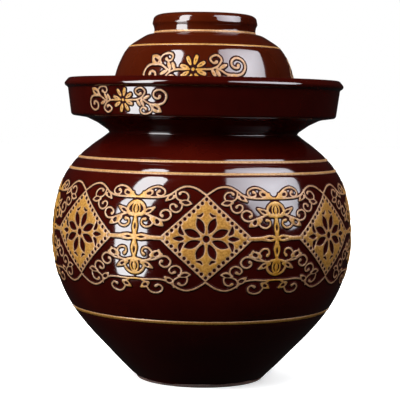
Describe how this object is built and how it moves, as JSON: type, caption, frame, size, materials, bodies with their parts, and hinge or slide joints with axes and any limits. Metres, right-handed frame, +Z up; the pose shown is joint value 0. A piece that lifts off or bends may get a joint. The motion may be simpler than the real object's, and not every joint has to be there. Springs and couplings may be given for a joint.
{
  "type": "water seal pickle jar",
  "caption": "Round glazed stoneware pickling jar with a water moat round its mouth, an inner lid and an upturned bowl as its lid.",
  "frame": {"origin": "centre of the jar's foot, on the surface it stands on", "axes": "+Z up along the jar's axis, -Y towards the picture's view, +X to its right"},
  "size_m": [0.2544, 0.2544, 0.3088],
  "materials": {
    "glaze": "gloss",
    "gilt": "satin",
    "clay": "matte"
  },
  "bodies": {
    "jar": {"lower_body": "glaze", "upper_body": "glaze", "mouth_collar": "glaze", "moat_floor": "glaze", "moat_wall": "glaze"},
    "inner_lid": {"inner_lid_disc": "glaze", "inner_lid_knob": "glaze"},
    "outer_lid": {"lid_bowl": "glaze", "lid_foot_ring": "glaze"}
  },
  "joints": [
    {"name": "inner_lid_lift", "type": "slide", "parent": "jar", "child": "inner_lid", "axis": [0, 0, 1], "range_m": [0, 0.15]},
    {"name": "outer_lid_lift", "type": "slide", "parent": "inner_lid", "child": "outer_lid", "axis": [0, 0, 1], "range_m": [0, 0.15]}
  ]
}
